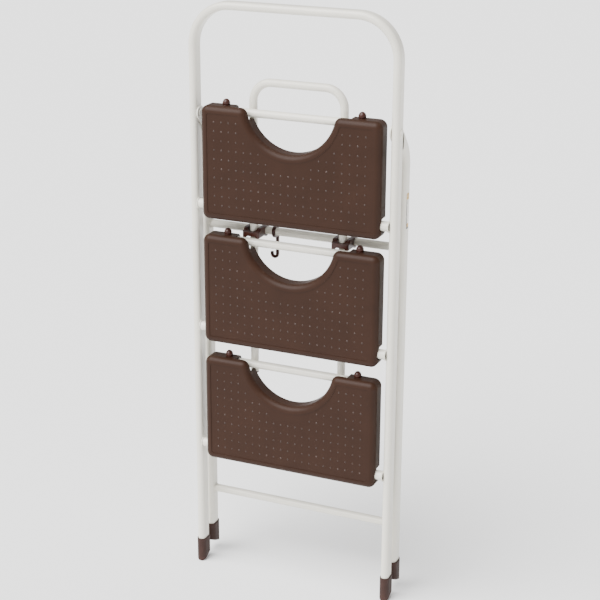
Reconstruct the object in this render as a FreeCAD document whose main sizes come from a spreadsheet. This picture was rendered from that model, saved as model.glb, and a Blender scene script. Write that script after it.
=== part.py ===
import FreeCAD, Part
import math
import os
import Sketcher

# Folding step stool with three treads, shown folded flat and upright.
# Row frame: +X to the climber's right, -Y towards the climber, +Z up, floor at z = 0,
# millimetres. The four moving groups are the front frame with its rungs, the three steps,
# the inner link frame behind them, and the rear frame with its guide clips and hook.

V = FreeCAD.Vector
os.makedirs("parts", exist_ok=True)
doc = FreeCAD.newDocument("step_stool")

SIZES = [
    # front frame, one bent flat-oval tube
    ("frame_width", 430.0, "outside width over the two rails"),
    ("rail_rise", 217.0, "top of the hand rail above the main pivot"),
    ("rail_width", 16.0, "flat-oval tube across X"),
    ("rail_depth", 30.0, "flat-oval tube across Y"),
    ("tube_wall", 1.2, "wall of every steel tube"),
    ("handle_radius", 78.0, "centreline radius of the two top bends"),
    ("rung_diameter", 19.0, "cross tubes the steps hinge on"),
    ("rung_first", 277.0, "height of the lowest rung"),
    ("rung_pitch", 257.0, "rung to rung"),
    ("rung_shift", -8.0, "rung axis in front of the rail centre"),
    # steps, moulded shells
    ("side_room", 14.0, "front rail to step, each side"),
    ("step_front", 19.0, "rung axis to tread face"),
    ("step_back", 15.0, "rung axis to the rear rim"),
    ("step_below", 26.0, "rung axis to the front lip"),
    ("step_gap", 32.0, "rear edge to the front lip of the step above, folded"),
    ("step_corner", 14.0, "outline corner radius"),
    ("step_round", 12.0, "radius round the tread face"),
    ("step_skin", 3.6, "tread thickness"),
    ("step_wall", 4.0, "rim thickness"),
    ("rib_wall", 2.6, "underside ribs"),
    ("rib_first", 40.0, "innermost upright ribs from the middle"),
    ("cut_radius", 93.0, "half-round cut-out"),
    ("cut_depth", 80.0, "cut-out below the rear edge"),
    ("pin_gap", 0.05, "radial running clearance on every hinge"),
    ("mouth_width", 28.0, "slot in the side rim round the rung"),
    ("mouth_shift", 3.0, "centre of the slot's round end behind the rung axis"),
    ("panel_inset", 14.0, "plain border round the studded panel"),
    ("panel_depth", 0.8, "studded panel below the border"),
    ("panel_corner", 5.0, "corner radius of the studded panel"),
    # link frame
    ("bar_diameter", 16.0, "round tube of the link frame and the cross bars"),
    ("bar_inset", 13.0, "link bar axis below the rear edge"),
    ("bar_back", 14.0, "rung axis to link bar axis, along Y"),
    ("bar_room", 35.0, "end of a link bar to the side of the step"),
    ("boss_length", 28.0, "bosses along the link bar"),
    ("notch_side", 27.0, "link leg centre to the outer side of its notch in the step"),
    ("notch_front", 14.0, "tread face to the floor of that notch"),
    ("notch_below", 10.0, "link bar axis to the lower end of that notch"),
    ("boss_diameter", 25.0, "bosses that hold the link bar"),
    ("link_span", 188.0, "link leg to link leg, centres"),
    ("link_rise", 58.0, "top of the arch centreline above the top bar"),
    ("link_drop", 20.0, "legs below the lowest bar"),
    ("link_radius", 38.0, "centreline radius of the arch"),
    ("leg_relief", 0.8, "clearance cut in the steps behind the link legs"),
    ("fold_angle", 64.0, "turn of the steps from folded to open"),
    # rear frame
    ("cross_gap", 6.0, "link legs to the upper cross bar, folded"),
    ("pivot_rise", 179.0, "main pivot above the top rung"),
    ("rear_bend", 41.0, "bend of the rear leg towards the pivot"),
    ("rear_radius", 60.0, "centreline radius of that bend"),
    ("rear_clear", 0.8, "rear tube to front rail, closed and open"),
    ("open_angle", 48.0, "turn of the rear frame from folded to open"),
    ("rear_up", 15.0, "rear feet above the front feet when folded"),
    ("cross_over", 2.5, "upper cross bar above the rear edge of the middle step"),
    ("cross_lower", 148.0, "lower cross bar height"),
    ("hinge_gap", 0.3, "front rail to hinge plate"),
    ("hinge_wall", 2.5, "hinge plate"),
    ("hinge_width", 26.0, "hinge plate across the rear leg"),
    ("hinge_reach", 78.0, "hinge plate along the rear leg"),
    ("pivot_diameter", 8.0, "main pivot rivet"),
    ("rivet_head", 15.0, "rivet head diameter"),
    ("head_height", 1.8, "rivet head"),
    # feet
    ("foot_wall", 2.0, "foot cap round the tube"),
    ("foot_height", 52.0, "foot cap height"),
    ("foot_floor", 22.0, "tube end above the lowest point of its foot"),
    ("lean_front", 26.0, "lean of the front frame when open"),
    ("lean_rear", 22.0, "lean of the rear frame when open"),
    # guide clips and fold hook
    ("clip_ring", 24.0, "ring on the cross bar"),
    ("clip_ring_width", 8.0, "width of one ring"),
    ("clip_side", 2.0, "clip to link leg, each side"),
    ("clip_play", 0.4, "front arm to link leg"),
    ("clip_height", 9.0, "front wall under a link leg, up and through"),
    ("clip_cheek", 19.5, "height of the two sides"),
    ("clip_corner", 3.0, "rounding of the front corners"),
    ("clip_room", 1.0, "clearance cut in the steps beside a clip"),
    ("hook_x", -58.0, "middle of the fold hook"),
    ("hook_width", 5.0, "fold hook across X"),
    ("hook_wall", 4.0, "hook stem and curl, front to back"),
    ("hook_drop", 50.0, "cross bar axis down to the curl's centre"),
    ("hook_curl", 3.3, "inside radius of the curl"),
    ("hook_tip_rise", 4.0, "tip above the curl's centre"),
    # buffers, end plugs and label
    ("buffer_inset", 46.0, "buffer axis to the side of the step"),
    ("buffer_diameter", 14.0, "round buffers on the rear edge"),
    ("buffer_height", 12.5, "above the rear edge"),
    ("buffer_shift", 5.0, "behind the rung axis"),
    ("plug_height", 3.0, "end plugs of the link legs"),
    ("label_width", 12.0, "blank label"),
    ("label_length", 91.0, "blank label"),
    ("label_drop", 104.0, "upper end of the label below the main pivot"),
    ("label_wall", 0.3, "label thickness"),
]

sheet = doc.addObject("Spreadsheet::Sheet", "sizes")
for row, (alias, value, note) in enumerate(SIZES, start=1):
    sheet.set("A%d" % row, alias)
    sheet.set("B%d" % row, str(value))
    sheet.set("C%d" % row, note)
    sheet.setAlias("B%d" % row, alias)
doc.recompute()


# Sizes that follow from the ones above, so that fitted pieces stay together.
DERIVED = {
    "top_rung": "rung_first + 2 * rung_pitch",
    "step_width": "frame_width - 2 * rail_width - 2 * side_room",
    "step_above": "rung_pitch - step_below - step_gap",
    "cut_floor": "step_above - cut_depth",
    "bar_up": "step_above - bar_inset",
    "bar_length": "step_width - 2 * bar_room",
    "boss_inner": "bar_length - 2 * boss_length",
    "buffer_span": "step_width - 2 * buffer_inset",
    "rear_offset": "rung_shift + bar_back + 2 * bar_diameter + cross_gap",
    "front_plane": "(step_front - rung_shift - rear_offset - rail_depth / 2 - foot_wall) / 2",
    "pivot_up": "top_rung + pivot_rise",
    "frame_top": "pivot_up + rail_rise",
    "cross_upper": "rung_first + rung_pitch + step_above + cross_over",
    "clip_window": "bar_diameter + 2 * clip_side",
    "clip_reach": "1.5 * bar_diameter + cross_gap + clip_play",
    "label_low": "pivot_up - label_drop - label_length",
}
ALIASES = {alias for alias, _, _ in SIZES}


def ref(text):
    """Sheet expression from words: aliases get the sheet's name, derived sizes are written out."""
    out = []
    word = ""
    for ch in text + " ":
        if ch.isalnum() or ch == "_":
            word += ch
            continue
        if word in DERIVED:
            out.append("(" + ref(DERIVED[word]) + ")")
        else:
            out.append("sizes." + word if word in ALIASES else word)
        out.append(ch)
        word = ""
    return "".join(out).strip()


probe = doc.addObject("App::FeaturePython", "derived_sizes")
for alias in DERIVED:
    probe.addProperty("App::PropertyFloat", alias)
    probe.setExpression(alias, ref(DERIVED[alias]))
doc.recompute()


def size(name):
    """Number behind a named or derived size."""
    return float(getattr(probe, name) if name in DERIVED else sheet.get(name))

# Names for places used by several sub-parts, as expressions of the sheet.
PLANE = "front_plane"
RAIL_X = "((frame_width - rail_width) / 2)"
REAR_WIDE = "(rail_width + 2 * hinge_gap)"
RUNG_Y = "(" + PLANE + " + rung_shift)"
BAR_Y = "(" + RUNG_Y + " + bar_back)"
LINK_Y = "(" + BAR_Y + " + bar_diameter)"
REAR_Y = "(" + PLANE + " + rear_offset)"
TOP_RUNG = "top_rung"

ALONG_X = FreeCAD.Rotation(V(0, 1, 0), 90)
ALONG_Y = FreeCAD.Rotation(V(1, 0, 0), -90)
ALONG_Z = FreeCAD.Rotation()
STAND_XZ = FreeCAD.Rotation(V(1, 0, 0), 90)
STAND_YZ = FreeCAD.Rotation(V(1, 1, 1), 120)


def place(obj, at, rotation=ALONG_Z):
    obj.Placement = FreeCAD.Placement(V(0, 0, 0), rotation)
    for axis, text in zip("xyz", at):
        obj.setExpression("Placement.Base." + axis, ref(text))
    return obj


def box(name, length, width, height, at, rotation=ALONG_Z):
    obj = doc.addObject("Part::Box", name)
    obj.setExpression("Length", ref(length))
    obj.setExpression("Width", ref(width))
    obj.setExpression("Height", ref(height))
    return place(obj, at, rotation)


def rod(name, diameter, length, at, rotation=ALONG_X):
    obj = doc.addObject("Part::Cylinder", name)
    obj.setExpression("Radius", ref("(" + diameter + ") / 2"))
    obj.setExpression("Height", ref(length))
    return place(obj, at, rotation)


def cut(name, base, tool):
    obj = doc.addObject("Part::Cut", name)
    obj.Base = base
    obj.Tool = tool
    return obj


def fuse(name, parts):
    obj = doc.addObject("Part::MultiFuse", name)
    obj.Shapes = parts
    obj.Refine = True
    return obj


def common(name, parts):
    obj = doc.addObject("Part::MultiCommon", name)
    obj.Shapes = parts
    return obj


def group(name, parts):
    obj = doc.addObject("Part::Compound", name)
    obj.Links = parts
    return obj


def fillet(name, base, wanted, radius):
    """Round the edges of base that wanted() picks."""
    doc.recompute()
    picked = []
    for number, edge in enumerate(base.Shape.Edges, start=1):
        if wanted(edge):
            picked.append((number, radius, radius))
    obj = doc.addObject("Part::Fillet", name)
    obj.Base = base
    obj.Edges = picked
    return obj


def flat_along(edge, axis):
    """True for a straight edge that runs along the named axis."""
    box_ = edge.BoundBox
    spans = {"x": box_.XLength, "y": box_.YLength, "z": box_.ZLength}
    others = [spans[key] for key in spans if key != axis]
    return spans[axis] > 0.5 and max(others) < 1e-4


def bind(sketch, kind, args, text):
    """Dimension of a sketch, driven by the sheet."""
    number = sketch.addConstraint(Sketcher.Constraint(kind, *args))
    sketch.renameConstraint(number, "d%d" % number)
    sketch.setExpression("Constraints.d%d" % number, ref(text))


def oval_profile(name, wide, deep, at):
    """Flat-oval section, wide across X and deep across Y."""
    sketch = place(doc.addObject("Sketcher::SketchObject", name), at)
    r = 8.0
    c = 7.0
    sketch.addGeometry([
        Part.LineSegment(V(-r, c, 0), V(-r, -c, 0)),
        Part.ArcOfCircle(Part.Circle(V(0, -c, 0), V(0, 0, 1), r), math.pi, 2 * math.pi),
        Part.LineSegment(V(r, -c, 0), V(r, c, 0)),
        Part.ArcOfCircle(Part.Circle(V(0, c, 0), V(0, 0, 1), r), 0, math.pi)], False)
    for first, second in ((0, 1), (1, 2), (2, 3), (3, 0)):
        sketch.addConstraint(Sketcher.Constraint("Tangent", first, 2, second, 1))
    sketch.addConstraint(Sketcher.Constraint("Vertical", 0))
    sketch.addConstraint(Sketcher.Constraint("Equal", 1, 3))
    sketch.addConstraint(Sketcher.Constraint("Symmetric", 1, 3, 3, 3, -1, 1))
    bind(sketch, "DistanceY", (1, 3, 3, 3, 2 * c), "(" + deep + ") - (" + wide + ")")
    bind(sketch, "Radius", (1, r), "(" + wide + ") / 2")
    return sketch


def round_profile(name, diameter, at):
    sketch = place(doc.addObject("Sketcher::SketchObject", name), at)
    sketch.addGeometry(Part.Circle(V(0, 0, 0), V(0, 0, 1), 8.0), False)
    sketch.addConstraint(Sketcher.Constraint("Coincident", 0, 3, -1, 1))
    bind(sketch, "Radius", (0, 8.0), "(" + diameter + ") / 2")
    return sketch


def arch_path(name, plane, span, low, top, radius, guess):
    """Inverted U in an XZ plane: up, over two bends and down."""
    sketch = place(doc.addObject("Sketcher::SketchObject", name), ("0", plane, "0"), STAND_XZ)
    half, foot, head, bend = guess
    sketch.addGeometry([
        Part.LineSegment(V(-half, foot, 0), V(-half, head - bend, 0)),
        Part.ArcOfCircle(Part.Circle(V(bend - half, head - bend, 0), V(0, 0, 1), bend),
                         math.pi / 2, math.pi),
        Part.LineSegment(V(bend - half, head, 0), V(half - bend, head, 0)),
        Part.ArcOfCircle(Part.Circle(V(half - bend, head - bend, 0), V(0, 0, 1), bend),
                         0, math.pi / 2),
        Part.LineSegment(V(half, head - bend, 0), V(half, foot, 0))], False)
    sketch.addConstraint(Sketcher.Constraint("Tangent", 0, 2, 1, 2))
    sketch.addConstraint(Sketcher.Constraint("Tangent", 1, 1, 2, 1))
    sketch.addConstraint(Sketcher.Constraint("Tangent", 2, 2, 3, 2))
    sketch.addConstraint(Sketcher.Constraint("Tangent", 3, 1, 4, 1))
    sketch.addConstraint(Sketcher.Constraint("Equal", 1, 3))
    sketch.addConstraint(Sketcher.Constraint("Vertical", 0))
    sketch.addConstraint(Sketcher.Constraint("Symmetric", 0, 1, 4, 2, -2))
    bind(sketch, "DistanceX", (0, 1, 4, 2, 2 * half), span)
    bind(sketch, "DistanceY", (-1, 1, 0, 1, foot), low)
    bind(sketch, "DistanceY", (-1, 1, 2, 1, head), top)
    bind(sketch, "Radius", (1, bend), radius)
    return sketch


def sweep(name, profile, path, edges):
    obj = doc.addObject("Part::Sweep", name)
    obj.Sections = [profile]
    obj.Spine = (path, ["Edge%d" % (number + 1) for number in range(edges)])
    obj.Solid = True
    obj.Frenet = False
    return obj


def tube(name, diameter, length, at):
    """Round steel tube along X."""
    return cut(name, rod(name + "_outside", diameter, length, at),
               rod(name + "_inside", diameter + " - 2 * tube_wall", length, at))


def oval_prism(name, wide, deep, height, at):
    profile = oval_profile(name + "_profile", wide, deep, at)
    obj = doc.addObject("Part::Extrusion", name)
    obj.Base = profile
    obj.DirMode = "Custom"
    obj.Dir = V(0, 0, 1)
    obj.setExpression("LengthFwd", ref(height))
    obj.Solid = True
    return obj


SIDES = [("left", "-"), ("right", "")]
made = []


def keep(obj, label):
    obj.Label = label
    made.append(obj)
    return obj


# ---------------------------------------------------------------- front frame
def front_frame():
    start = ("-" + RAIL_X, PLANE, "foot_floor")
    path = arch_path("rail_path", PLANE, "frame_width - rail_width", "foot_floor",
                     "frame_top - rail_width / 2", "handle_radius",
                     ((size("frame_width") - size("rail_width")) / 2, size("foot_floor"),
                      size("frame_top") - size("rail_width") / 2, size("handle_radius")))
    outside = sweep("rail_outside", oval_profile("rail_profile", "rail_width", "rail_depth", start),
                    path, 5)
    inside = sweep("rail_inside", oval_profile("rail_bore_profile", "rail_width - 2 * tube_wall",
                                               "rail_depth - 2 * tube_wall", start), path, 5)
    hollow = cut("rail_hollow", outside, inside)
    holes = rod("rail_pivot_holes", "pivot_diameter", "frame_width",
                ("-frame_width / 2", PLANE, "pivot_up"))
    keep(cut("front_tube", hollow, holes), "front_tube")

    gap = "(frame_width - 2 * rail_width)"
    for count, place_name in enumerate(("bottom", "middle", "top")):
        high = "rung_first + %d * rung_pitch" % count
        keep(tube("rung_" + place_name, "rung_diameter", gap, ("-" + gap + " / 2", RUNG_Y, high)),
             "rung_" + place_name)

    outside = "frame_width / 2"
    inside = "(frame_width / 2 - rail_width - 2 * hinge_gap - hinge_wall)"
    for side, sign in SIDES:
        middle = sign + RAIL_X
        low = "-" + outside if sign else inside
        shank = rod("rivet_shank_" + side, "pivot_diameter", outside + " - " + inside,
                    (low, PLANE, "pivot_up"))
        heads = []
        for number, at_x in enumerate((outside, inside + " - head_height")):
            start = "-(" + at_x + ") - head_height" if sign else at_x
            heads.append(rod("rivet_head_%s_%d" % (side, number), "rivet_head", "head_height",
                             (start, PLANE, "pivot_up")))
        rivet = fuse("rivet_blank_" + side, [shank] + heads)
        keep(dome_heads(rivet, side), "pivot_rivet_" + side)
        keep(foot("front_foot_" + side, middle, PLANE, "0", "rail_width", "lean_front", -1),
             "front_foot_" + side)


def dome_heads(rivet, side):
    """Round the outer rim of both rivet heads."""
    def rim(edge):
        spot = edge.BoundBox
        ends = (rivet.Shape.BoundBox.XMin, rivet.Shape.BoundBox.XMax)
        wide = spot.YLength > 0.9 * size("rivet_head")
        return spot.XLength < 1e-4 and wide and min(abs(spot.XMin - end) for end in ends) < 1e-3
    return fillet("pivot_rivet_" + side, rivet, rim, 0.7 * size("head_height"))


def foot(name, middle, plane, low, wide, lean, lowest):
    """Cap round a tube end, its sole cut to lie flat when the stool is open.

    lowest is -1 when the front edge of the sole is the lowest, +1 for the rear edge."""
    deep = "(rail_depth + 2 * foot_wall)"
    shell = oval_prism(name + "_shell", wide + " + 2 * foot_wall", deep, "foot_height",
                       (middle, plane, low))
    bore = oval_prism(name + "_bore", wide, "rail_depth", "foot_height",
                      (middle, plane, low + " + foot_floor"))
    cup = cut(name + "_cup", shell, bore)
    turn = FreeCAD.Rotation(V(1, 0, 0), -lowest * size(lean))
    wedge = doc.addObject("Part::Box", name + "_wedge")
    wedge.setExpression("Length", ref("3 * rail_depth"))
    wedge.setExpression("Width", ref("4 * rail_depth"))
    wedge.setExpression("Height", ref("2 * rail_depth"))
    reach = "(2 * rail_depth)"
    tilt = "(" + lean + " * 1 deg)"
    across = "%s %s %s / 2" % (plane, "-" if lowest < 0 else "+", deep)
    shift_y = "- %s * cos%s %s %s * sin%s" % (reach, tilt, "+" if lowest < 0 else "-", reach, tilt)
    shift_z = "- %s * sin%s * %d - %s * cos%s" % (reach, tilt, -lowest, reach, tilt)
    place(wedge, (middle + " - 1.5 * rail_depth", across + " " + shift_y, low + " " + shift_z), turn)
    return cut(name, cup, wedge)


# ---------------------------------------------------------------- steps
def outline_prism(name, inset, start, depth, corner):
    """Outline of a step with its half-round cut-out, drawn inset on every side, as a prism
    along Y about the rung axis."""
    low = "(step_below - " + inset + ")"
    high = "(step_above - " + inset + ")"
    half = "(step_width / 2 - " + inset + ")"
    block = box(name + "_block", "2 * " + half, depth, low + " + " + high,
                ("-" + half, start, "-" + low))
    bite = rod(name + "_bite", "2 * (cut_radius + " + inset + ")", depth,
               ("0", start, "cut_floor + cut_radius"), ALONG_Y)
    body = cut(name + "_cut", block, bite)
    return fillet(name, body, lambda edge: flat_along(edge, "y"), corner)


def step_outline(name, inset, front_inset, back_extra, round_radius):
    """Outline prism from the tread face to the rear rim, rounded round the tread face."""
    front = "(step_front - " + front_inset + ")"
    corner = max(size("step_corner") - sheet_value(inset), 2.0)
    rounded = outline_prism(name + "_corners", inset, "-" + front,
                            front + " + step_back + " + back_extra, corner)
    doc.recompute()
    face_y = rounded.Shape.BoundBox.YMin

    def on_front(edge):
        spot = edge.BoundBox
        return abs(spot.YMin - face_y) < 1e-3 and abs(spot.YMax - face_y) < 1e-3
    return fillet(name, rounded, on_front, round_radius)


def sheet_value(text):
    """Number behind one alias or a plain number."""
    return size(text) if text[0].isalpha() else float(text)


def step_blank():
    """The moulded step at the origin: a shell open underneath, with ribs, bores and bosses."""
    outer = step_outline("step_outer", "0", "0", "0", size("step_round"))
    wall = size("step_wall")
    inner = step_outline("step_inner", "step_wall", "step_skin", "1",
                         max(size("step_round") - wall, 2.0))
    shell = cut("step_shell", outer, inner)

    depth = "step_front + step_back"
    ribs = []
    bearing = "(step_width / 2 - step_wall - 8)"
    lines = [bearing, "bar_length / 2", "(boss_inner / 2 + 2)", "rib_first"]
    for number, line in enumerate(lines):
        for side, sign in SIDES:
            ribs.append(box("rib_%d_%s" % (number, side), "rib_wall", depth,
                            "step_below + step_above",
                            (sign + line + " - rib_wall / 2", "-step_front", "-step_below")))
    lift = ("-mouth_width / 2", "mouth_width / 2", "(cut_floor - 53)", "(cut_floor - 7)")
    for number, high in enumerate(lift):
        ribs.append(box("cross_rib_%d" % number, "step_width", depth, "rib_wall",
                        ("-step_width / 2", "-step_front", high + " - rib_wall / 2")))
    webs = common("step_webs", [fuse("step_ribs", ribs), outer])

    bosses = []
    for side, sign in SIDES:
        reach = "((bar_length - boss_inner) / 2)"
        start = "boss_inner / 2" if sign == "" else "-boss_inner / 2 - " + reach
        bosses.append(rod("bar_boss_" + side, "boss_diameter", reach, (start, "bar_back", "bar_up")))
    solid = fuse("step_filled", [shell, webs] + bosses)

    tools = [rod("rung_bore", "rung_diameter + 2 * pin_gap", "2 * step_width", ("-step_width", "0", "0")),
             rod("bar_bore", "bar_diameter + 2 * pin_gap", "bar_length + 0.6",
                 ("-bar_length / 2 - 0.3", "bar_back", "bar_up"))]
    for side, sign in SIDES:
        edge_x = "step_width / 2 - step_wall - 1" if sign == "" else "-step_width / 2 - 1"
        tools.append(box("mouth_" + side, "step_wall + 2", "2 * step_back", "mouth_width",
                         (edge_x, "mouth_shift", "-mouth_width / 2")))
        tools.append(rod("mouth_round_" + side, "mouth_width", "step_wall + 2",
                         (edge_x, "mouth_shift", "0")))
        wide = "(clip_window + 2 * clip_ring_width + 2 * clip_room)"
        turn = FreeCAD.Rotation(V(1, 0, 0), size("fold_angle"))
        lean = "(fold_angle * 1 deg)"
        off = "(bar_diameter / 2 - leg_relief)"
        notch = "(notch_side + link_span / 2 - cut_radius / 2)"
        notch_x = "cut_radius / 2" if sign == "" else "-cut_radius / 2 - " + notch
        tools.append(box("leg_notch_" + side, notch, "step_front + step_back", "2 * notch_below + bar_inset",
                         (notch_x, "notch_front - step_front", "bar_up - notch_below")))
        tools.append(box("leg_relief_" + side, wide, "step_above", "2 * step_above",
                         (sign + "link_span / 2 - " + wide + " / 2",
                          "bar_back + " + off + " * cos" + lean + " + step_above * sin" + lean,
                          "bar_up + " + off + " * sin" + lean + " - step_above * cos" + lean), turn))
    tools.append(outline_prism("panel", "panel_inset", "-step_front - 1", "1 + panel_depth",
                               size("panel_corner")))
    return cut("step_moulding", solid, fuse("step_tools", tools))


def steps():
    moulding = step_blank()
    pegs = []
    for side, sign in SIDES:
        pegs.append(rod("buffer_peg_" + side, "buffer_diameter", "buffer_height",
                        (sign + "buffer_span / 2", "buffer_shift", "step_above"), ALONG_Z))
    blank = group("buffer_pegs", pegs)
    doc.recompute()
    top = blank.Shape.BoundBox.ZMax
    buffers = fillet("buffer_set", blank, lambda edge: edge.BoundBox.ZMin > top - 1e-3,
                     0.42 * size("buffer_diameter"))
    for count, place_name in enumerate(("bottom", "middle", "top")):
        at = ("0", RUNG_Y, "rung_first + %d * rung_pitch" % count)
        keep(place(group("step_" + place_name, [moulding]), at), "step_" + place_name)
        keep(place(group("buffers_" + place_name, [buffers]), at), "buffers_" + place_name)


# ---------------------------------------------------------------- link frame
def link_frame():
    low = "rung_first + bar_up - link_drop"
    path = arch_path("link_path", LINK_Y, "link_span", low, TOP_RUNG + " + bar_up + link_rise",
                     "link_radius",
                     (size("link_span") / 2, size("rung_first") + size("bar_up") - size("link_drop"),
                      size("top_rung") + size("bar_up") + size("link_rise"), size("link_radius")))
    start = ("-link_span / 2", LINK_Y, low)
    outside = sweep("link_outside", round_profile("link_profile", "bar_diameter", start), path, 5)
    inside = sweep("link_inside", round_profile("link_bore", "bar_diameter - 2 * tube_wall", start),
                   path, 5)
    keep(cut("link_loop", outside, inside), "link_loop")
    for count, place_name in enumerate(("bottom", "middle", "top")):
        high = "rung_first + %d * rung_pitch + bar_up" % count
        keep(tube("link_bar_" + place_name, "bar_diameter", "bar_length",
                  ("-bar_length / 2", BAR_Y, high)), "link_bar_" + place_name)
    plugs = []
    for side, sign in SIDES:
        plugs.append(rod("plug_" + side, "bar_diameter", "plug_height",
                         (sign + "link_span / 2", LINK_Y, low + " - plug_height"), ALONG_Z))
    keep(group("link_plugs", plugs), "link_plugs")


# ---------------------------------------------------------------- rear frame
def rear_path(name, middle):
    """Rear leg: straight up, then one bend towards the main pivot."""
    sketch = place(doc.addObject("Sketcher::SketchObject", name), (middle, "0", "0"), STAND_YZ)
    slope = math.radians(size("rear_bend"))
    pivot = size("pivot_up")
    plane_y = size("front_plane")
    leg_y = plane_y + size("rear_offset")
    bend = size("rear_radius")
    corner_z = pivot - size("rear_offset") / math.tan(slope)
    run = bend * math.tan(slope / 2)
    foot_z = size("rear_up") + size("foot_floor")
    end = V(plane_y, pivot, 0)
    leave = V(leg_y - run * math.sin(slope), corner_z + run * math.cos(slope), 0)
    sketch.addGeometry([
        Part.LineSegment(V(leg_y, foot_z, 0), V(leg_y, corner_z - run, 0)),
        Part.ArcOfCircle(Part.Circle(V(leg_y - bend, corner_z - run, 0), V(0, 0, 1), bend), 0, slope),
        Part.LineSegment(leave, end)], False)
    sketch.addConstraint(Sketcher.Constraint("Tangent", 0, 2, 1, 1))
    sketch.addConstraint(Sketcher.Constraint("Tangent", 1, 2, 2, 1))
    sketch.addConstraint(Sketcher.Constraint("Vertical", 0))
    bind(sketch, "DistanceX", (-1, 1, 0, 1, leg_y), REAR_Y)
    bind(sketch, "DistanceY", (-1, 1, 0, 1, foot_z), "rear_up + foot_floor")
    bind(sketch, "Radius", (1, bend), "rear_radius")
    bind(sketch, "DistanceX", (-1, 1, 2, 2, end.x), PLANE)
    bind(sketch, "DistanceY", (-1, 1, 2, 2, end.y), "pivot_up")
    return sketch


def rail_swing(side, middle):
    """Room for the front rail against the top of a rear leg, closed and fully open."""
    deep = "(2 * rail_depth)"
    high = "(4 * rail_depth)"
    edge = "(rail_depth / 2 + rear_clear)"
    start = middle + " - rail_width"
    closed = box("rail_room_closed_" + side, "2 * rail_width", deep, high,
                 (start, PLANE + " + " + edge + " - " + deep, "pivot_up - " + high + " / 2"))
    turn = FreeCAD.Rotation(V(1, 0, 0), -size("open_angle"))
    lean = "(open_angle * 1 deg)"
    off = "(" + edge + " - " + deep + ")"
    opened = box("rail_room_open_" + side, "2 * rail_width", deep, high,
                 (start, PLANE + " + " + off + " * cos" + lean + " - " + high + " / 2 * sin" + lean,
                  "pivot_up - " + off + " * sin" + lean + " - " + high + " / 2 * cos" + lean), turn)
    return fuse("rail_room_" + side, [closed, opened])


def hinge_plate(side, sign):
    """Plate on the inner side of a rear leg, welded to it, that turns on the main pivot."""
    turn = FreeCAD.Rotation(V(1, 0, 0), size("rear_bend"))
    lean = "(rear_bend * 1 deg)"
    inside = "(frame_width / 2 - rail_width - hinge_gap - hinge_wall)"
    at_x = "-" + inside + " - hinge_wall" if sign else inside
    name = "hinge_plate_" + side
    eye = rod(name + "_eye", "hinge_width", "hinge_wall", (at_x, PLANE, "pivot_up"))
    arm = box(name + "_arm", "hinge_wall", "hinge_width", "hinge_reach",
              (at_x,
               PLANE + " - hinge_width / 2 * cos" + lean + " + hinge_reach * sin" + lean,
               "pivot_up - hinge_width / 2 * sin" + lean + " - hinge_reach * cos" + lean), turn)
    hole = rod(name + "_hole", "pivot_diameter + 2 * pin_gap", "3 * hinge_wall",
               (at_x + " - hinge_wall", PLANE, "pivot_up"))
    trim = box(name + "_trim", "3 * hinge_wall", "hinge_reach", "2 * hinge_reach",
               (at_x + " - hinge_wall", REAR_Y + " + rail_depth / 2 - (rail_depth - hinge_width) / 2",
                "pivot_up - 2 * hinge_reach"))
    return cut(name, cut(name + "_drilled", fuse(name + "_blank", [eye, arm]), hole), trim)


def rear_frame():
    gap = "(frame_width - rail_width - " + REAR_WIDE + ")"
    for side, sign in SIDES:
        middle = sign + RAIL_X
        start = (middle, REAR_Y, "rear_up + foot_floor")
        path = rear_path("rear_path_" + side, middle)
        outside = sweep("rear_outside_" + side,
                        oval_profile("rear_profile_" + side, REAR_WIDE, "rail_depth", start), path, 3)
        inside = sweep("rear_inside_" + side,
                       oval_profile("rear_bore_" + side, REAR_WIDE + " - 2 * tube_wall",
                                    "rail_depth - 2 * tube_wall", start), path, 3)
        hollow = cut("rear_hollow_" + side, outside, inside)
        keep(cut("rear_leg_" + side, hollow, rail_swing(side, middle)), "rear_leg_" + side)
        keep(hinge_plate(side, sign), "hinge_plate_" + side)
        keep(foot("rear_foot_" + side, middle, REAR_Y, "rear_up", REAR_WIDE, "lean_rear", 1),
             "rear_foot_" + side)
    for place_name in ("upper", "lower"):
        keep(tube("cross_bar_" + place_name, "bar_diameter", gap,
                  ("-" + gap + " / 2", REAR_Y, "cross_" + place_name)), "cross_bar_" + place_name)
    keep(box("blank_label", "label_wall", "label_width", "label_length",
             (RAIL_X + " + " + REAR_WIDE + " / 2", REAR_Y + " - label_width / 2", "label_low")),
         "blank_label")


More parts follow.
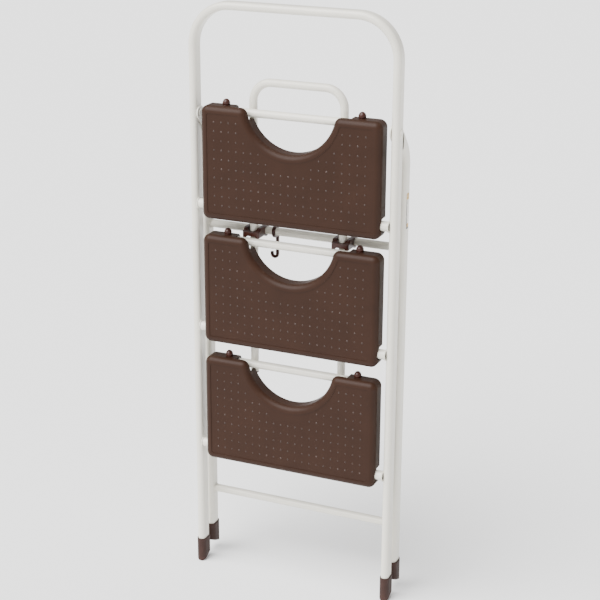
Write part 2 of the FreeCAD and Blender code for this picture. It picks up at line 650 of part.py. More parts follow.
# ---------------------------------------------------------------- clips and hook
def guide_clip(side, middle):
    """Two rings on the upper cross bar whose sides reach forward past a link leg and meet in a
    wall with a half-round saddle."""
    outer = "(clip_window / 2 + clip_ring_width)"
    front = REAR_Y + " - clip_reach - clip_height"
    top = "cross_upper + clip_ring / 2"
    low = "cross_upper - clip_height / 2"
    wall = box("clip_wall_" + side, "2 * " + outer, "clip_height", "(clip_ring + clip_height) / 2",
               (middle + " - " + outer, front, low))
    parts = [wall]
    for number, start in enumerate(("- " + outer, "+ clip_window / 2")):
        at_x = middle + " " + start
        parts.append(box("clip_side_%s_%d" % (side, number), "clip_ring_width",
                         "(clip_reach + clip_height)", "clip_cheek",
                         (at_x, front, top + " - clip_cheek")))
    blank = fuse("clip_sides_" + side, parts)
    doc.recompute()
    face = blank.Shape.BoundBox

    def front_corner(edge):
        spot = edge.BoundBox
        upright = spot.ZLength > 1 and spot.XLength < 1e-6 and spot.YLength < 1e-6
        ends = min(abs(spot.XMin - face.XMin), abs(spot.XMax - face.XMax)) < 1e-3
        return upright and ends and abs(spot.YMin - face.YMin) < 1e-3
    sides = fillet("clip_rounded_" + side, blank, front_corner, size("clip_corner"))
    rings = [rod("clip_ring_%s_%d" % (side, number), "clip_ring", "clip_ring_width",
                 (middle + " " + start, REAR_Y, "cross_upper"))
             for number, start in enumerate(("- " + outer, "+ clip_window / 2"))]
    saddle = rod("clip_saddle_" + side, "clip_window", "4 * clip_height",
                 (middle, front + " - clip_height", low + " + clip_height + clip_window / 2"), ALONG_Y)
    start = middle + " - 1.5 * " + outer
    bore = rod("clip_bore_" + side, "bar_diameter + 2 * pin_gap", "3 * " + outer,
               (start, REAR_Y, "cross_upper"))
    bar_y, bar_z = open_bar_place()
    rest = rod("clip_bar_rest_" + side, "bar_diameter + 2 * leg_relief", "3 * " + outer,
               (start, bar_y, bar_z))
    return cut("guide_clip_" + side, fuse("clip_blank_" + side, [sides] + rings),
               fuse("clip_tools_" + side, [saddle, rest, bore]))


def open_bar_place():
    """Where the top link bar comes to lie against a guide clip when the stool is open, drawn at
    the clip's folded place."""
    steps_turn, frame_turn = "(fold_angle * 1 deg)", "(open_angle * 1 deg)"
    drop = "(pivot_up - cross_upper)"
    bar_y = "rung_shift + bar_back * cos%s + bar_up * sin%s" % (steps_turn, steps_turn)
    bar_z = "top_rung - bar_back * sin%s + bar_up * cos%s" % (steps_turn, steps_turn)
    clip_y = "rear_offset * cos%s + %s * sin%s" % (frame_turn, drop, frame_turn)
    clip_z = "pivot_up + rear_offset * sin%s - %s * cos%s" % (frame_turn, drop, frame_turn)
    return (REAR_Y + " + (" + bar_y + ") - (" + clip_y + ")",
            "cross_upper + (" + bar_z + ") - (" + clip_z + ")")


def fold_hook():
    """Hook that hangs from the cross bar, its stem behind the bar and its curl turned sideways."""
    at_x = "hook_x - hook_width / 2"
    stem_y = REAR_Y + " + clip_ring / 2 - hook_wall"
    low = "cross_upper - hook_drop"
    outside = "(hook_curl + hook_width)"
    curl_x = "hook_x + hook_width / 2 - " + outside
    curl_at = (curl_x, stem_y, low)
    ring = rod("hook_ring", "clip_ring", "hook_width", (at_x, REAR_Y, "cross_upper"))
    stem = box("hook_stem", "hook_width", "hook_wall", "hook_drop", (at_x, stem_y, low))
    curl = rod("hook_curl_outside", "2 * " + outside, "hook_wall", curl_at, ALONG_Y)
    upper = box("hook_curl_upper", "2 * " + outside, "hook_wall", outside,
                (curl_x + " - " + outside, stem_y, low))
    tip = box("hook_tip", "hook_width", "hook_wall", "hook_tip_rise",
              (curl_x + " - " + outside, stem_y, low))
    body = fuse("hook_body", [cut("hook_curl_half", curl, upper), stem, tip])
    curl_bore = rod("hook_curl_inside", "2 * hook_curl", "3 * hook_wall",
                    (curl_x, stem_y + " - hook_wall", low), ALONG_Y)
    bore = rod("hook_bore", "bar_diameter + 2 * pin_gap", "2 * hook_width",
               ("hook_x - hook_width", REAR_Y, "cross_upper"))
    return cut("fold_hook", fuse("hook_blank", [ring, cut("hook_open", body, curl_bore)]), bore)


front_frame()
steps()
link_frame()
rear_frame()
keep(guide_clip("left", "-link_span / 2"), "guide_clip_left")
keep(guide_clip("right", "link_span / 2"), "guide_clip_right")
keep(fold_hook(), "fold_hook")
doc.recompute()

for obj in doc.Objects:
    if "Invalid" in obj.State or "Error" in obj.State:
        raise RuntimeError("%s did not compute: %s" % (obj.Name, obj.State))
for obj in made:
    shape = obj.Shape
    if shape.isNull() or not shape.isValid() or not shape.Solids:
        raise RuntimeError("%s has no valid solid" % obj.Label)
    shape.exportStep("parts/%s.step" % obj.Label)
    spot = shape.BoundBox
    print("%-20s solids %d  volume %9.0f  x %7.1f %7.1f  y %6.1f %6.1f  z %7.1f %7.1f" % (
        obj.Label, len(shape.Solids), shape.Volume, spot.XMin, spot.XMax,
        spot.YMin, spot.YMax, spot.ZMin, spot.ZMax))
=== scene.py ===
import math
import random

import bmesh
import bpy
from bpy.props import FloatProperty, FloatVectorProperty, PointerProperty
from mathutils import Matrix, Quaternion, Vector


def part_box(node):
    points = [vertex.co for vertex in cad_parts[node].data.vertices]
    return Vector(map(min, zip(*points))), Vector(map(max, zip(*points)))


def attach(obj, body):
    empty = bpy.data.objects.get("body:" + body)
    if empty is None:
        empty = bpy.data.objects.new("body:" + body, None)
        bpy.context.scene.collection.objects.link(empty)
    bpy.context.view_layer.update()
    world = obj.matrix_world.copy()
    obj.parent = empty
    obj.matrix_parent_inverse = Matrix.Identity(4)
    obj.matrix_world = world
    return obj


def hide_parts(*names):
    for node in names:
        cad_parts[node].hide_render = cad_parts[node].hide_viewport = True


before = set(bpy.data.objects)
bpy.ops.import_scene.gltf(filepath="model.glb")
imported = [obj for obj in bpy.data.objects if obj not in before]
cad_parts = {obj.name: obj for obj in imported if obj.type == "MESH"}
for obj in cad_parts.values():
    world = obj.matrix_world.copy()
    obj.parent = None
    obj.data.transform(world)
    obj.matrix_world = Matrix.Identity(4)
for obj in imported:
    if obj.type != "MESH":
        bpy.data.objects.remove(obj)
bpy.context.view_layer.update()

bl_info = {
    "name": "Folding step stool",
    "version": (1, 1, 0),
    "blender": (4, 5, 0),
    "location": "View3D > Sidebar > Stool",
    "description": "Looks for a folding step stool built around its packed frame",
    "category": "Object",
}

MM = 0.001
SIDES = (("left", -1), ("right", 1))
LEVELS = ("bottom", "middle", "top")
BEAD_SIDES = 8              # corners across a weld bead
BEAD_POINTS = 72            # points round a tube's weld
TUBE_RIPPLES = 18           # ripples of the torch round a tube's weld
LEG_POINTS = 48             # points round a link leg's weld
LEG_RIPPLES = 12
RIPPLE = 0.14               # swell of a bead at each ripple, as a share of its thickness
UNEVEN = 0.05               # chance part of that swell


def linear(hex_colour):
    """sRGB hex, such as '52392d', as linear red, green, blue and alpha."""
    out = []
    for k in (0, 2, 4):
        c = int(hex_colour[k:k + 2], 16) / 255
        out.append(c / 12.92 if c <= 0.04045 else ((c + 0.055) / 1.055) ** 2.4)
    return (*out, 1.0)


def shade(colour, amount):
    """The same colour, darker below 1 and lighter above it."""
    return tuple(c * amount for c in colour[:3]) + (1.0,)


def grey(value):
    return (value, value, value, 1.0)


def per_metre(millimetres):
    """Texture scale that gives one repeat in the given real size."""
    return 1000.0 / millimetres


# ---------------------------------------------------------------- materials
def add_node(tree, kind, settings=None, links=None):
    """Adds a node, sets its fields or sockets, and links {input: (node, output)}."""
    node = tree.nodes.new(kind)
    for key, value in (settings or {}).items():
        if isinstance(key, str) and hasattr(node, key):
            setattr(node, key, value)
        else:
            node.inputs[key].default_value = value
    for key, (source, output) in (links or {}).items():
        tree.links.new(source.outputs[output], node.inputs[key])
    return node


def new_material(name):
    material = bpy.data.materials.new(name)
    material.use_nodes = True
    tree = material.node_tree
    return material, tree, tree.nodes["Principled BSDF"]


def ramp(tree, source, output, stops, steps=False):
    """Colour ramp over stops of (position, colour), smooth or in hard steps."""
    node = add_node(tree, "ShaderNodeValToRGB", links={"Fac": (source, output)})
    node.color_ramp.interpolation = "CONSTANT" if steps else "LINEAR"
    points = node.color_ramp.elements
    points[0].position, points[0].color = stops[0]
    points[1].position, points[1].color = stops[-1]
    for place, colour in stops[1:-1]:
        point = points.new(place)
        point.color = colour
    return node


def powder_coated_steel(colour):
    """Polyester powder coat, sprayed and baked on steel tube: a warm white satin skin with a
    faint orange peel, drawn 2.4 mm across so that it shows, a slow cloudiness in the sheen,
    and rare specks where dust was baked in."""
    material, tree, shader = new_material("powder_coated_steel")
    place = add_node(tree, "ShaderNodeTexCoord")
    peel = add_node(tree, "ShaderNodeTexNoise", {"Scale": per_metre(2.4), "Detail": 2.0},
                    {"Vector": (place, "Object")})
    cloud = add_node(tree, "ShaderNodeTexNoise", {"Scale": per_metre(70), "Detail": 4.0},
                     {"Vector": (place, "Object")})
    dust = add_node(tree, "ShaderNodeTexVoronoi", {"Scale": per_metre(26)},
                    {"Vector": (place, "Object")})
    tone = ramp(tree, cloud, "Fac", [(0.3, shade(colour, 0.95)), (0.7, colour)])
    speck = ramp(tree, dust, "Distance", [(0.012, grey(1.0)), (0.02, grey(0.0))])
    mixed = add_node(tree, "ShaderNodeMixRGB", {"Color2": shade(colour, 0.62)},
                     {"Fac": (speck, "Color"), "Color1": (tone, "Color")})
    tree.links.new(mixed.outputs["Color"], shader.inputs["Base Color"])
    gloss = ramp(tree, cloud, "Fac", [(0.3, grey(0.3)), (0.7, grey(0.4))])
    tree.links.new(gloss.outputs["Color"], shader.inputs["Roughness"])
    bump = add_node(tree, "ShaderNodeBump", {"Strength": 0.14, "Distance": 0.0002},
                    {"Height": (peel, "Fac")})
    tree.links.new(bump.outputs["Normal"], shader.inputs["Normal"])
    shader.inputs["IOR"].default_value = 1.5
    shader.inputs["Coat Weight"].default_value = 0.25
    shader.inputs["Coat Roughness"].default_value = 0.2
    return material


def moulded_polypropylene(colour):
    """Polypropylene, injection moulded in a spark-eroded tool: a fine even grain about 1 mm
    across with a dull sheen, slow flow marks in the tone, and paler dust left in the grain."""
    material, tree, shader = new_material("polypropylene_moulded")
    place = add_node(tree, "ShaderNodeTexCoord")
    grain = add_node(tree, "ShaderNodeTexNoise", {"Scale": per_metre(1.1), "Detail": 3.0},
                     {"Vector": (place, "Object")})
    flow = add_node(tree, "ShaderNodeTexNoise", {"Scale": per_metre(85), "Detail": 4.0,
                                                 "Distortion": 0.8},
                    {"Vector": (place, "Object")})
    pits = add_node(tree, "ShaderNodeTexVoronoi", {"Scale": per_metre(1.6)},
                    {"Vector": (place, "Object")})
    tone = ramp(tree, flow, "Fac", [(0.3, shade(colour, 0.88)), (0.72, shade(colour, 1.06))])
    dust = ramp(tree, grain, "Fac", [(0.62, grey(0.0)), (0.75, grey(0.3))])
    mixed = add_node(tree, "ShaderNodeMixRGB", {"Color2": shade(colour, 1.9)},
                     {"Fac": (dust, "Color"), "Color1": (tone, "Color")})
    tree.links.new(mixed.outputs["Color"], shader.inputs["Base Color"])
    gloss = ramp(tree, grain, "Fac", [(0.3, grey(0.4)), (0.7, grey(0.52))])
    tree.links.new(gloss.outputs["Color"], shader.inputs["Roughness"])
    coarse = add_node(tree, "ShaderNodeBump", {"Strength": 0.12, "Distance": 0.0002},
                      {"Height": (pits, "Distance")})
    bump = add_node(tree, "ShaderNodeBump", {"Strength": 0.3, "Distance": 0.00015},
                    {"Height": (grain, "Fac"), "Normal": (coarse, "Normal")})
    tree.links.new(bump.outputs["Normal"], shader.inputs["Normal"])
    shader.inputs["IOR"].default_value = 1.49
    shader.inputs["Specular IOR Level"].default_value = 0.14
    return material


def polypropylene_with_painted_highlight(colour):
    """The same polypropylene on the tread studs, with a painted highlight: paler in colour than
    the treads, some much more than others, in place of the glint of light on each stud, and
    shinier.
    The patches are 16 mm across, one stud each."""
    material, tree, shader = new_material("polypropylene_painted_highlight")
    place = add_node(tree, "ShaderNodeTexCoord")
    patch = add_node(tree, "ShaderNodeTexNoise", {"Scale": per_metre(16), "Detail": 1.0},
                     {"Vector": (place, "Object")})
    # Painted highlight: the studs' base colour is made paler, far more in some patches, in place
    # of the glint of light on each stud.
    highlight_tint = tuple(0.6 * c + 0.4 * colour[0] * 0.8 for c in colour[:3])
    tone = ramp(tree, patch, "Fac", [(0.45, colour), (0.58, shade(highlight_tint, 1.4)),
                                     (0.7, shade(highlight_tint, 2.3))])
    tree.links.new(tone.outputs["Color"], shader.inputs["Base Color"])
    gloss = ramp(tree, patch, "Fac", [(0.4, grey(0.34)), (0.65, grey(0.2))])
    tree.links.new(gloss.outputs["Color"], shader.inputs["Roughness"])
    shader.inputs["IOR"].default_value = 1.49
    shader.inputs["Specular IOR Level"].default_value = 0.35
    return material


def moulded_nylon(colour):
    """Nylon 6, moulded in a polished tool: darker and shinier than the steps, with soft
    sink marks a few millimetres across."""
    material, tree, shader = new_material("nylon_moulded")
    place = add_node(tree, "ShaderNodeTexCoord")
    sink = add_node(tree, "ShaderNodeTexNoise", {"Scale": per_metre(7), "Detail": 2.0},
                    {"Vector": (place, "Object")})
    fine = add_node(tree, "ShaderNodeTexNoise", {"Scale": per_metre(0.9), "Detail": 2.0},
                    {"Vector": (place, "Object")})
    tone = ramp(tree, sink, "Fac", [(0.3, shade(colour, 0.8)), (0.7, shade(colour, 1.15))])
    tree.links.new(tone.outputs["Color"], shader.inputs["Base Color"])
    gloss = ramp(tree, fine, "Fac", [(0.3, grey(0.26)), (0.7, grey(0.4))])
    tree.links.new(gloss.outputs["Color"], shader.inputs["Roughness"])
    soft = add_node(tree, "ShaderNodeBump", {"Strength": 0.25, "Distance": 0.0006},
                    {"Height": (sink, "Fac")})
    bump = add_node(tree, "ShaderNodeBump", {"Strength": 0.15, "Distance": 0.0001},
                    {"Height": (fine, "Fac"), "Normal": (soft, "Normal")})
    tree.links.new(bump.outputs["Normal"], shader.inputs["Normal"])
    shader.inputs["IOR"].default_value = 1.53
    shader.inputs["Specular IOR Level"].default_value = 0.3
    return material


def soft_vinyl(colour):
    """Plasticised PVC, moulded: rubbery foot caps with a matt bloom, paler and dustier in
    their lowest 20 mm, where they stand on the floor."""
    material, tree, shader = new_material("soft_pvc_moulded")
    place = add_node(tree, "ShaderNodeTexCoord")
    grain = add_node(tree, "ShaderNodeTexNoise", {"Scale": per_metre(1.4), "Detail": 3.0},
                     {"Vector": (place, "Object")})
    bloom = add_node(tree, "ShaderNodeTexNoise", {"Scale": per_metre(18), "Detail": 4.0},
                     {"Vector": (place, "Object")})
    tone = ramp(tree, bloom, "Fac", [(0.3, shade(colour, 0.85)), (0.7, shade(colour, 1.12))])
    parts = add_node(tree, "ShaderNodeSeparateXYZ", links={"Vector": (place, "Object")})
    low = add_node(tree, "ShaderNodeMapRange", {"From Min": 0.02, "From Max": 0.0,
                                                "To Min": 0.0, "To Max": 0.45},
                   {"Value": (parts, "Z")})
    mixed = add_node(tree, "ShaderNodeMixRGB", {"Color2": shade(colour, 1.7)},
                     {"Fac": (low, "Result"), "Color1": (tone, "Color")})
    tree.links.new(mixed.outputs["Color"], shader.inputs["Base Color"])
    gloss = ramp(tree, grain, "Fac", [(0.3, grey(0.5)), (0.7, grey(0.66))])
    tree.links.new(gloss.outputs["Color"], shader.inputs["Roughness"])
    bump = add_node(tree, "ShaderNodeBump", {"Strength": 0.3, "Distance": 0.0002},
                    {"Height": (grain, "Fac")})
    tree.links.new(bump.outputs["Normal"], shader.inputs["Normal"])
    shader.inputs["IOR"].default_value = 1.52
    shader.inputs["Specular IOR Level"].default_value = 0.2
    return material


def printed_film(low, high, rule_edge, end_colour, middle_colour):
    """Polyester film, printed and left blank: a glossy off-white strip with a yellow block at
    each end, a dark rule along its front edge, and a few faint creases."""
    material, tree, shader = new_material("polyester_film_printed")
    place = add_node(tree, "ShaderNodeTexCoord")
    parts = add_node(tree, "ShaderNodeSeparateXYZ", links={"Vector": (place, "Object")})
    along = add_node(tree, "ShaderNodeMapRange", {"From Min": low, "From Max": high},
                     {"Value": (parts, "Z")})
    rule = linear("2c2721")
    bands = ramp(tree, along, "Result",
                 [(0.0, rule), (0.04, end_colour), (0.15, middle_colour),
                  (0.82, end_colour), (0.999, end_colour)], steps=True)
    edge = add_node(tree, "ShaderNodeMath", {"operation": "LESS_THAN", 1: rule_edge},
                    {0: (parts, "Y")})
    inside = ramp(tree, along, "Result", [(0.0, grey(1.0)), (0.82, grey(0.0)),
                                          (0.999, grey(0.0))], steps=True)
    ruled = add_node(tree, "ShaderNodeMath", {"operation": "MULTIPLY"},
                     {0: (edge, "Value"), 1: (inside, "Color")})
    mixed = add_node(tree, "ShaderNodeMixRGB", {"Color2": rule},
                     {"Fac": (ruled, "Value"), "Color1": (bands, "Color")})
    tree.links.new(mixed.outputs["Color"], shader.inputs["Base Color"])
    crease = add_node(tree, "ShaderNodeTexNoise", {"Scale": per_metre(9), "Detail": 1.0},
                      {"Vector": (place, "Object")})
    gloss = ramp(tree, crease, "Fac", [(0.3, grey(0.22)), (0.7, grey(0.34))])
    tree.links.new(gloss.outputs["Color"], shader.inputs["Roughness"])
    bump = add_node(tree, "ShaderNodeBump", {"Strength": 0.2, "Distance": 0.0002},
                    {"Height": (crease, "Fac")})
    tree.links.new(bump.outputs["Normal"], shader.inputs["Normal"])
    return material


# ---------------------------------------------------------------- shapes
def stitch(form, rings, closed=False):
    """Joins rings of points into a skin. A ring of one point is a pole."""
    pairs = list(zip(rings, rings[1:]))
    if closed:
        pairs.append((rings[-1], rings[0]))
    for low, high in pairs:
        count = max(len(low), len(high))
        for k in range(count):
            corners = (low[k % len(low)], low[(k + 1) % len(low)],
                       high[(k + 1) % len(high)], high[k % len(high)])
            form.faces.new(list(dict.fromkeys(corners)))


def add_lathe(form, profile, place, segments):
    """Turned shape from (radius, height) points, closed at both ends."""
    rings = []
    for radius, height in profile:
        count = segments if radius > 0 else 1
        rings.append([form.verts.new(place @ Vector((radius * math.cos(math.tau * k / count),
                                                     radius * math.sin(math.tau * k / count),
                                                     height))) for k in range(count)])
    stitch(form, rings)


def smooth_profile(points, steps=4):
    """Catmull-Rom line through the profile's points, with a sharp start."""
    out = [points[0], points[1]]
    for k in range(1, len(points) - 1):
        before, a, b = points[k - 1], points[k], points[k + 1]
        after = points[min(k + 2, len(points) - 1)]
        for step in range(1, steps + 1):
            t = step / steps
            out.append(tuple(
                0.5 * (2 * q + (r - p) * t + (2 * p - 5 * q + 4 * r - s) * t * t
                       + (3 * q - p - 3 * r + s) * t ** 3)
                for p, q, r, s in zip(before, a, b, after)))
    return [(max(radius, 0.0) if n < len(out) - 1 else 0.0, height)
            for n, (radius, height) in enumerate(out)]


def add_bead(form, points, centre, thickness, ripples, chance):
    """Weld bead along a closed line of points: a thin roll with the ripple of the torch."""
    rings = []
    count = len(points)
    for k, point in enumerate(points):
        along = (points[(k + 1) % count] - points[k - 1]).normalized()
        out = point - centre
        out = (out - along * out.dot(along)).normalized()
        side = along.cross(out)
        wave = math.sin(math.tau * ripples * k / count)
        roll = thickness * (1 + RIPPLE * wave + chance.uniform(-UNEVEN, UNEVEN))
        turns = [math.tau * j / BEAD_SIDES for j in range(BEAD_SIDES)]
        rings.append([form.verts.new(point + (out * math.cos(turn) + side * math.sin(turn)) * roll)
                      for turn in turns])
    stitch(form, rings, closed=True)


def add_tube_weld(form, spot, radius, thickness, chance):
    """Bead round the end of a cross tube that runs along X."""
    turns = [math.tau * k / BEAD_POINTS for k in range(BEAD_POINTS)]
    points = [spot + Vector((0, radius * math.cos(turn), radius * math.sin(turn)))
              for turn in turns]
    add_bead(form, points, spot, thickness, TUBE_RIPPLES, chance)


def finish_piece(name, form, material, body):
    """Makes the drawn form an object that rides on a body."""
    bmesh.ops.recalc_face_normals(form, faces=form.faces[:])
    mesh = bpy.data.meshes.new(name)
    form.to_mesh(mesh)
    form.free()
    mesh.shade_smooth()
    mesh.materials.append(material)
    obj = bpy.data.objects.new(name, mesh)
    bpy.context.scene.collection.objects.link(obj)
    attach(obj, body)
    return obj


def soft_copy(name, node, material, body, voxel, rounds, swell):
    """Moulded piece with every edge rounded as in a tool. The frame's solid is copied,
    remeshed fine, relaxed, and swollen or drawn in a little."""
    obj = bpy.data.objects.new(name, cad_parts[node].data.copy())
    bpy.context.scene.collection.objects.link(obj)
    remesh = obj.modifiers.new("remesh", "REMESH")
    remesh.mode = "VOXEL"
    remesh.voxel_size = voxel
    relax = obj.modifiers.new("relax", "SMOOTH")
    relax.factor = 0.5
    relax.iterations = rounds
    fill = obj.modifiers.new("fill", "DISPLACE")
    fill.mid_level = 0.0
    fill.strength = swell
    depsgraph = bpy.context.evaluated_depsgraph_get()
    mesh = bpy.data.meshes.new_from_object(obj.evaluated_get(depsgraph))
    obj.modifiers.clear()
    obj.data = mesh
    mesh.name = name
    mesh.materials.clear()
    mesh.materials.append(material)
    mesh.shade_smooth()
    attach(obj, body)
    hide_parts(node)
    return obj


def paint(node, material):
    """Gives a carried-over CAD node its material."""
    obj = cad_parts[node]
    obj.data.materials.clear()
    obj.data.materials.append(material)


# ---------------------------------------------------------------- the add-on
class StoolLooks(bpy.types.PropertyGroup):
    paint: FloatVectorProperty(name="Frame paint", description="Powder coat colour", size=4,
                               subtype="COLOR", default=linear("dfdbcf"))
    step: FloatVectorProperty(name="Steps", description="Colour of the moulded steps", size=4,
                              subtype="COLOR", default=linear("2e1c13"))
    fitting: FloatVectorProperty(name="Clips", description="Colour of clips, hook and buffers",
                                 size=4, subtype="COLOR", default=linear("35170f"))
    foot: FloatVectorProperty(name="Feet", description="Colour of the foot caps", size=4,
                              subtype="COLOR", default=linear("33211c"))
    stud_size: FloatProperty(name="Stud", description="Diameter of a tread stud",
                             default=3.6 * MM, unit="LENGTH")
    stud_height: FloatProperty(name="Stud height", description="Stud above the sunk panel",
                               default=0.72 * MM, unit="LENGTH")
    pitch_x: FloatProperty(name="Stud pitch across", description="Stud to stud across a tread",
                           default=15.55 * MM, unit="LENGTH")
    pitch_z: FloatProperty(name="Stud pitch along", description="Stud to stud along a tread",
                           default=18.3 * MM, unit="LENGTH")
    weld: FloatProperty(name="Weld", description="Thickness of a weld bead",
                        default=1.5 * MM, unit="LENGTH")


def looks():
    return bpy.context.scene.stool_looks


def shared(name, make, *colours):
    """One material for all the pieces of a finish."""
    return bpy.data.materials.get(name) or make(*colours)


def coat():
    return shared("powder_coated_steel", powder_coated_steel, tuple(looks().paint))


def step_plastic():
    return shared("polypropylene_moulded", moulded_polypropylene, tuple(looks().step))


def stud_plastic():
    return shared("polypropylene_painted_highlight", polypropylene_with_painted_highlight, tuple(looks().step))


def nylon():
    return shared("nylon_moulded", moulded_nylon, tuple(looks().fitting))


class STOOL_OT_frames(bpy.types.Operator):
    """Powder coat on the front, link and rear frames"""
    bl_idname = "stool.frames"
    bl_label = "Frames"

    def execute(self, context):
        names = ["front_tube", "link_loop", "cross_bar_upper", "cross_bar_lower"]
        names += ["rung_" + level for level in LEVELS]
        names += ["link_bar_" + level for level in LEVELS]
        for side, sign in SIDES:
            names += ["rear_leg_" + side, "hinge_plate_" + side, "pivot_rivet_" + side]
        for name in names:
            paint(name, coat())
        return {"FINISHED"}


class STOOL_OT_welds(bpy.types.Operator):
    """Weld beads where the cross tubes meet the rails, the rear legs and the link legs"""
    bl_idname = "stool.welds"
    bl_label = "Welds"

    SEED = 11
    BACK = 0.3                  # bead's middle from the tube's end, in bead thicknesses
    OUT = 0.25                  # and outside the tube's wall
    LEG_REACH = 0.52            # radius of a leg's weld, as a share of the bar's
    LEG_BEAD = 0.6              # its thickness, as a share of the other beads'

    def execute(self, context):
        chance = random.Random(self.SEED)
        bead = looks().weld
        groups = (("front_welds", "front_frame", ["rung_" + level for level in LEVELS]),
                  ("rear_welds", "rear_frame", ["cross_bar_upper", "cross_bar_lower"]))
        for name, body, tubes in groups:
            form = bmesh.new()
            for tube in tubes:
                low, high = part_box(tube)
                middle = (low + high) / 2
                radius = (high.z - low.z) / 2
                for side, sign in SIDES:
                    end = Vector((sign * (high.x - self.BACK * bead), middle.y, middle.z))
                    add_tube_weld(form, end, radius + self.OUT * bead, bead, chance)
            finish_piece(name, form, coat(), body)

        form = bmesh.new()
        leg_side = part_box("link_loop")[1].x
        for level in LEVELS:
            low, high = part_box("link_bar_" + level)
            radius = (high.z - low.z) / 2
            for side, sign in SIDES:
                spot = Vector((sign * (leg_side - radius), high.y, (low.z + high.z) / 2))
                self.leg_weld(form, spot, radius, chance)
        finish_piece("link_welds", form, coat(), "link_frame")
        return {"FINISHED"}

    def leg_weld(self, form, spot, radius, chance):
        """Small bead in the gap round the point where a bar lies against a leg."""
        points = []
        for k in range(LEG_POINTS):
            turn = math.tau * k / LEG_POINTS
            x = self.LEG_REACH * radius * math.cos(turn)
            z = self.LEG_REACH * radius * math.sin(turn)
            points.append(spot + Vector((x, (x * x - z * z) / (4 * radius), z)))
        add_bead(form, points, spot, self.LEG_BEAD * looks().weld, LEG_RIPPLES, chance)


class STOOL_OT_steps(bpy.types.Operator):
    """Moulded steps"""
    bl_idname = "stool.steps"
    bl_label = "Steps"

    def execute(self, context):
        for level in LEVELS:
            paint("step_" + level, step_plastic())
        return {"FINISHED"}


class STOOL_OT_studs(bpy.types.Operator):
    """Rows of small domed studs on the sunk panel of each tread"""
    bl_idname = "stool.studs"
    bl_label = "Tread studs"

    FIRST_ROW = 5.0 * MM        # above the rung axis
    ROWS = 10
    COLUMNS = 10                # on each side of the middle one
    CUT_ABOVE = 13.0 * MM       # centre of the half-round cut-out above the step's rear edge
    CLEAR = 114.0 * MM          # no stud nearer to that centre
    MIDDLE = 40.0 * MM          # the middle columns stop lower
    MIDDLE_TOP = 90.0 * MM
    PANEL_DEPTH = 0.8 * MM
    SUNK = 0.3 * MM             # foot of each stud inside the tread
    SIDES_ROUND = 14

    def execute(self, context):
        size = looks()
        radius, tall = size.stud_size / 2, size.stud_height
        profile = [(0.0, -self.SUNK), (radius, -self.SUNK), (radius, 0.02 * tall),
                   (0.84 * radius, 0.34 * tall), (0.62 * radius, 0.66 * tall),
                   (0.36 * radius, 0.9 * tall), (0.14 * radius, 0.99 * tall), (0.0, tall)]
        for level in LEVELS:
            low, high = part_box("step_" + level)
            rung_low, rung_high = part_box("rung_" + level)
            rung = (rung_low.z + rung_high.z) / 2
            centre = high.z + self.CUT_ABOVE
            face = low.y + self.PANEL_DEPTH
            form = bmesh.new()
            for row in range(self.ROWS):
                z = rung + self.FIRST_ROW + row * size.pitch_z
                for column in range(-self.COLUMNS, self.COLUMNS + 1):
                    x = column * size.pitch_x
                    if math.hypot(x, z - centre) < self.CLEAR:
                        continue
                    if abs(x) < self.MIDDLE and z - rung > self.MIDDLE_TOP:
                        continue
                    place = Matrix.Translation((x, face, z)) @ Matrix.Rotation(math.pi / 2, 4, "X")
                    add_lathe(form, profile, place, self.SIDES_ROUND)
            finish_piece("tread_studs_" + level, form, stud_plastic(),
                         "step_" + level + "_body")
        return {"FINISHED"}


class STOOL_OT_buffers(bpy.types.Operator):
    """Egg-shaped rubber buffers on the rear edge of each step"""
    bl_idname = "stool.buffers"
    bl_label = "Buffers"

    # Radius and height as shares of the buffer's own radius and height.
    PROFILE = ((0.0, -0.02), (0.92, -0.02), (0.95, 0.06), (1.04, 0.16), (1.08, 0.3),
               (1.05, 0.46), (0.95, 0.62), (0.78, 0.78), (0.55, 0.91), (0.3, 0.985),
               (0.12, 0.99), (0.0, 0.96))
    SIDES_ROUND = 40

    def execute(self, context):
        for level in LEVELS:
            low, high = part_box("buffers_" + level)
            radius = (high.y - low.y) / 2
            tall = high.z - low.z
            profile = smooth_profile([(r * radius, h * tall) for r, h in self.PROFILE])
            form = bmesh.new()
            for side, sign in SIDES:
                spot = (sign * (high.x - radius), (low.y + high.y) / 2, low.z)
                add_lathe(form, profile, Matrix.Translation(spot), self.SIDES_ROUND)
            obj = finish_piece("soft_buffers_" + level, form, nylon(),
                               "step_" + level + "_body")
            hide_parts("buffers_" + level)
        return {"FINISHED"}


class STOOL_OT_clips(bpy.types.Operator):
    """Moulded guide clips, fold hook and end plugs"""
    bl_idname = "stool.clips"
    bl_label = "Clips and hook"

    CLIP_VOXEL = 0.7 * MM
    HOOK_VOXEL = 0.5 * MM
    ROUNDS = 5                  # relaxing passes
    CLIP_SWELL = -0.25 * MM     # keeps the clips off the link legs when the stool is open
    HOOK_SWELL = 0.5 * MM

    def execute(self, context):
        for side, sign in SIDES:
            soft_copy("moulded_clip_" + side, "guide_clip_" + side, nylon(), "clip_" + side,
                      self.CLIP_VOXEL, self.ROUNDS, self.CLIP_SWELL)
        soft_copy("moulded_hook", "fold_hook", nylon(), "hook",
                  self.HOOK_VOXEL, self.ROUNDS, self.HOOK_SWELL)
        paint("link_plugs", nylon())
        return {"FINISHED"}


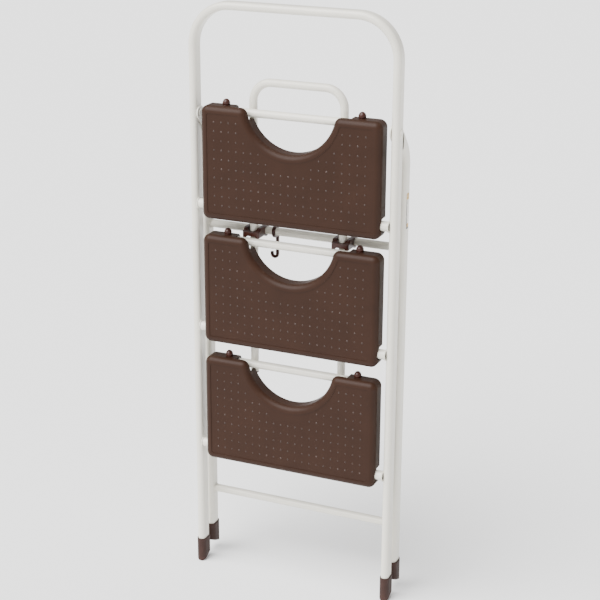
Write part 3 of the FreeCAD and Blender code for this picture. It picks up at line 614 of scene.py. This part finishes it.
class STOOL_OT_label(bpy.types.Operator):
    """Blank sticker on the right rear leg"""
    bl_idname = "stool.label"
    bl_label = "Label"

    LENGTH = 70.0 * MM
    RULE = 2.6 * MM             # width of the dark rule
    CORNER = 1.6 * MM
    ARC = 6                     # facets round a corner

    def execute(self, context):
        low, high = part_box("blank_label")
        high.z = low.z + self.LENGTH
        corner, arc = self.CORNER, self.ARC
        form = bmesh.new()
        outline = []
        for turn, (y, z) in enumerate(((high.y, high.z), (low.y, high.z), (low.y, low.z),
                                       (high.y, low.z))):
            centre_y = y - corner if turn in (0, 3) else y + corner
            centre_z = z - corner if turn in (0, 1) else z + corner
            for k in range(arc + 1):
                angle = math.pi / 2 * (turn + k / arc)
                outline.append((centre_y + corner * math.cos(angle),
                                centre_z + corner * math.sin(angle)))
        rings = [[form.verts.new((x, y, z)) for y, z in outline] for x in (low.x, high.x)]
        stitch(form, rings)
        form.faces.new(rings[0])
        form.faces.new(rings[1])
        film = printed_film(low.z, high.z, low.y + self.RULE, linear("b98d1c"),
                            linear("dedcd4"))
        obj = finish_piece("blank_sticker", form, film, "rear_frame")
        for polygon in obj.data.polygons:
            polygon.use_smooth = False
        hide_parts("blank_label")
        return {"FINISHED"}


class STOOL_OT_feet(bpy.types.Operator):
    """Foot caps"""
    bl_idname = "stool.feet"
    bl_label = "Feet"

    VOXEL = 0.8 * MM
    ROUNDS = 4                  # relaxing passes

    def execute(self, context):
        vinyl = soft_vinyl(tuple(looks().foot))
        for side, sign in SIDES:
            for frame_name in ("front", "rear"):
                node = frame_name + "_foot_" + side
                soft_copy(frame_name + "_cap_" + side, node, vinyl, frame_name + "_frame",
                          self.VOXEL, self.ROUNDS, 0.0)
        return {"FINISHED"}


class STOOL_OT_stage(bpy.types.Operator):
    """Floor, lights and camera"""
    bl_idname = "stool.stage"
    bl_label = "Stage"

    CAMERA = Vector((1.1308, -2.5903, 1.6141))
    AIM = Vector((0.01425, -0.017, 0.6166))
    ROLL = 0.24                 # degrees
    LENS = 91.47
    TO_LIGHT = Vector((-0.32, -0.52, 0.79))
    LIGHT_WIDTH = 60            # degrees across, for soft shadows
    LIGHT = 8.0
    SKY = 0.75
    FLOOR = 60.0                # half the floor's side

    def execute(self, context):
        form = bmesh.new()
        bmesh.ops.create_grid(form, x_segments=1, y_segments=1, size=self.FLOOR)
        floor_mesh = bpy.data.meshes.new("floor")
        form.to_mesh(floor_mesh)
        form.free()
        floor = bpy.data.objects.new("floor", floor_mesh)
        context.scene.collection.objects.link(floor)
        material, tree, shader = new_material("matt_paper_floor")
        shader.inputs["Base Color"].default_value = grey(0.9)
        shader.inputs["Roughness"].default_value = 0.95
        shader.inputs["Specular IOR Level"].default_value = 0.1
        floor_mesh.materials.append(material)

        world = bpy.data.worlds.new("studio")
        context.scene.world = world
        world.use_nodes = True
        sky = world.node_tree.nodes["Background"]
        sky.inputs["Color"].default_value = grey(1.0)
        sky.inputs["Strength"].default_value = self.SKY

        lamp = bpy.data.lights.new("softbox", "SUN")
        lamp.energy = self.LIGHT
        lamp.angle = math.radians(self.LIGHT_WIDTH)
        light = bpy.data.objects.new("softbox", lamp)
        light.rotation_euler = self.TO_LIGHT.to_track_quat("Z", "Y").to_euler()
        context.scene.collection.objects.link(light)

        data = bpy.data.cameras.new("camera")
        data.lens = self.LENS
        data.sensor_width = 36.0
        camera = bpy.data.objects.new("camera", data)
        context.scene.collection.objects.link(camera)
        turn = (self.AIM - self.CAMERA).to_track_quat("-Z", "Y")
        camera.rotation_mode = "QUATERNION"
        camera.rotation_quaternion = turn @ Quaternion((0, 0, 1), math.radians(self.ROLL))
        camera.location = self.CAMERA
        context.scene.camera = camera
        return {"FINISHED"}


class STOOL_PT_panel(bpy.types.Panel):
    """Lists the stool's pieces"""
    bl_idname = "STOOL_PT_panel"
    bl_label = "Step stool"
    bl_space_type = "VIEW_3D"
    bl_region_type = "UI"
    bl_category = "Stool"

    def draw(self, context):
        for name in StoolLooks.__annotations__:
            self.layout.prop(context.scene.stool_looks, name)
        for piece in PIECES:
            self.layout.operator(piece.bl_idname)


PIECES = (STOOL_OT_stage, STOOL_OT_frames, STOOL_OT_welds, STOOL_OT_steps, STOOL_OT_studs,
          STOOL_OT_buffers, STOOL_OT_clips, STOOL_OT_label, STOOL_OT_feet)
CLASSES = (StoolLooks,) + PIECES + (STOOL_PT_panel,)


def register():
    for kind in CLASSES:
        bpy.utils.register_class(kind)
    bpy.types.Scene.stool_looks = PointerProperty(type=StoolLooks)


def unregister():
    del bpy.types.Scene.stool_looks
    for kind in reversed(CLASSES):
        bpy.utils.unregister_class(kind)


def main():
    register()
    bpy.ops.stool.stage()
    bpy.ops.stool.frames()
    bpy.ops.stool.welds()
    bpy.ops.stool.steps()
    bpy.ops.stool.studs()
    bpy.ops.stool.buffers()
    bpy.ops.stool.clips()
    bpy.ops.stool.label()
    bpy.ops.stool.feet()


if __name__ == "__main__":
    main()
